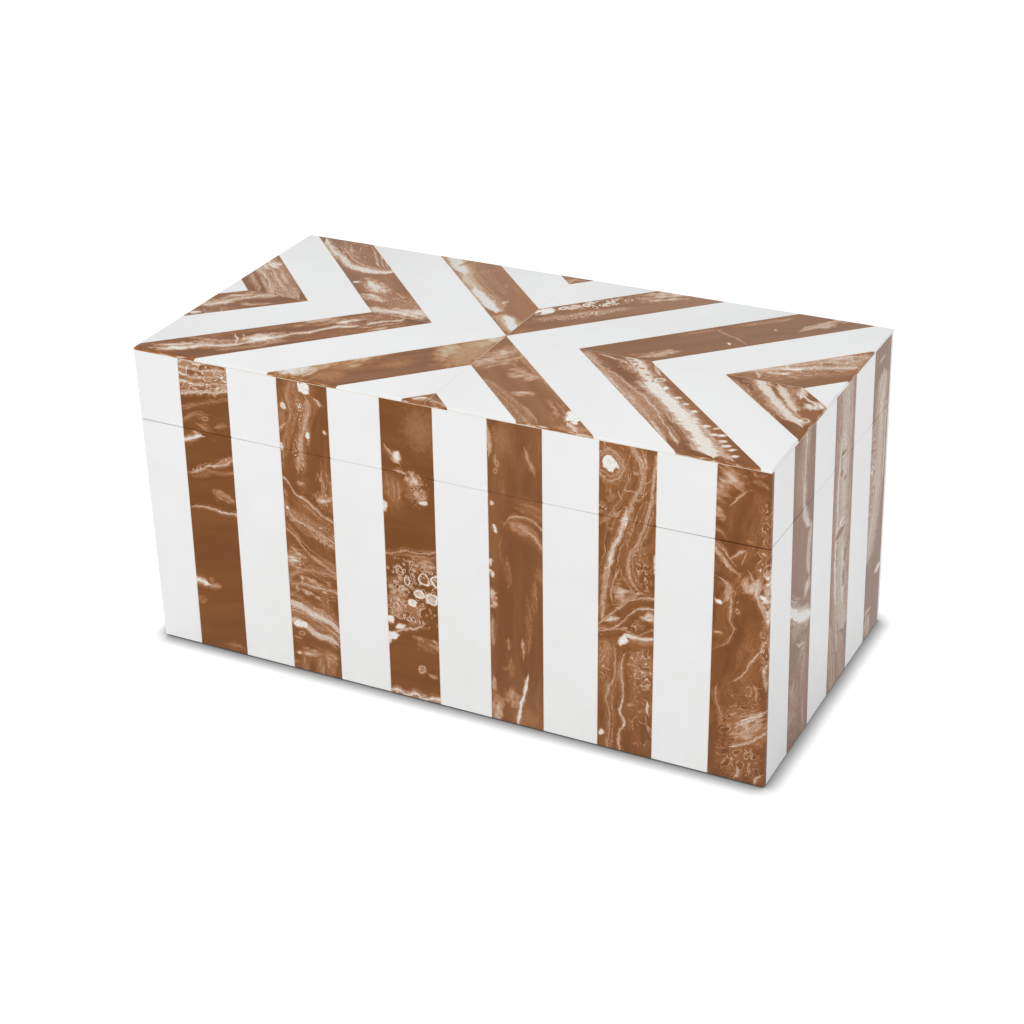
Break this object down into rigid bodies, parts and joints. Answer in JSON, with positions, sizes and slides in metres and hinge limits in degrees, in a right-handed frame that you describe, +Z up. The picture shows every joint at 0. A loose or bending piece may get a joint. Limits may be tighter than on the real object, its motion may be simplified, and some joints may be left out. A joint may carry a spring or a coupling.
{
  "type": "inlaid wooden box",
  "caption": "Rectangular keepsake box with a lift-up hinged lid, covered all over in alternating white and marbled brown cast strips and mitred tiles, lined with velvet.",
  "frame": {"origin": "centre of the felt underside, on the surface the box stands on, midway between the outer faces of its strips; the hinges stand behind the back face", "axes": "+X to the right seen from the front, +Y from the front to the hinged back, +Z up"},
  "size_m": [0.305, 0.1577, 0.151],
  "materials": {
    "board": "raw fibreboard, sanded",
    "felt": "pressed felt",
    "white_resin": "polished cast resin, plain milk white",
    "brown_resin": "polished cast resin, marbled like horn with white veins",
    "velvet": "short pile velvet on card",
    "hinge_brass": "satin, lightly lacquered",
    "screw_brass": "bright, slotted heads",
    "pin_steel": "drawn steel wire"
  },
  "bodies": {
    "base": {"base_front_panel": "board", "base_back_panel": "board", "base_left_panel": "board", "base_right_panel": "board", "base_floor_panel": "board", "base_felt": "felt", "base_front_white_strips": "white_resin", "base_front_brown_strips": "brown_resin", "base_right_white_strips": "white_resin", "base_right_brown_strips": "brown_resin", "base_back_white_strips": "white_resin", "base_back_brown_strips": "brown_resin", "base_left_white_strips": "white_resin", "base_left_brown_strips": "brown_resin", "base_floor_lining": "velvet", "base_front_lining": "velvet", "base_back_lining": "velvet", "base_left_lining": "velvet", "base_right_lining": "velvet", "hinge_left_base_leaf": "hinge_brass", "hinge_right_base_leaf": "hinge_brass", "hinge_left_pin": "pin_steel", "hinge_right_pin": "pin_steel", "hinge_base_screws": "screw_brass"},
    "lid": {"lid_top_panel": "board", "lid_front_panel": "board", "lid_back_panel": "board", "lid_left_panel": "board", "lid_right_panel": "board", "lid_front_white_strips": "white_resin", "lid_front_brown_strips": "brown_resin", "lid_right_white_strips": "white_resin", "lid_right_brown_strips": "brown_resin", "lid_back_white_strips": "white_resin", "lid_back_brown_strips": "brown_resin", "lid_left_white_strips": "white_resin", "lid_left_brown_strips": "brown_resin", "lid_top_front_left_white_tiles": "white_resin", "lid_top_front_left_brown_tiles": "brown_resin", "lid_top_front_right_white_tiles": "white_resin", "lid_top_front_right_brown_tiles": "brown_resin", "lid_top_back_left_white_tiles": "white_resin", "lid_top_back_left_brown_tiles": "brown_resin", "lid_top_back_right_white_tiles": "white_resin", "lid_top_back_right_brown_tiles": "brown_resin", "lid_ceiling_lining": "velvet", "lid_front_lining": "velvet", "lid_back_lining": "velvet", "lid_left_lining": "velvet", "lid_right_lining": "velvet", "hinge_left_lid_leaf": "hinge_brass", "hinge_right_lid_leaf": "hinge_brass", "hinge_lid_screws": "screw_brass"}
  },
  "joints": [
    {"name": "lid_hinge", "type": "hinge", "parent": "base", "child": "lid", "pos_m": [0, 0.0783, 0.115], "axis": [-1, 0, 0], "range_deg": [0, 95]}
  ]
}
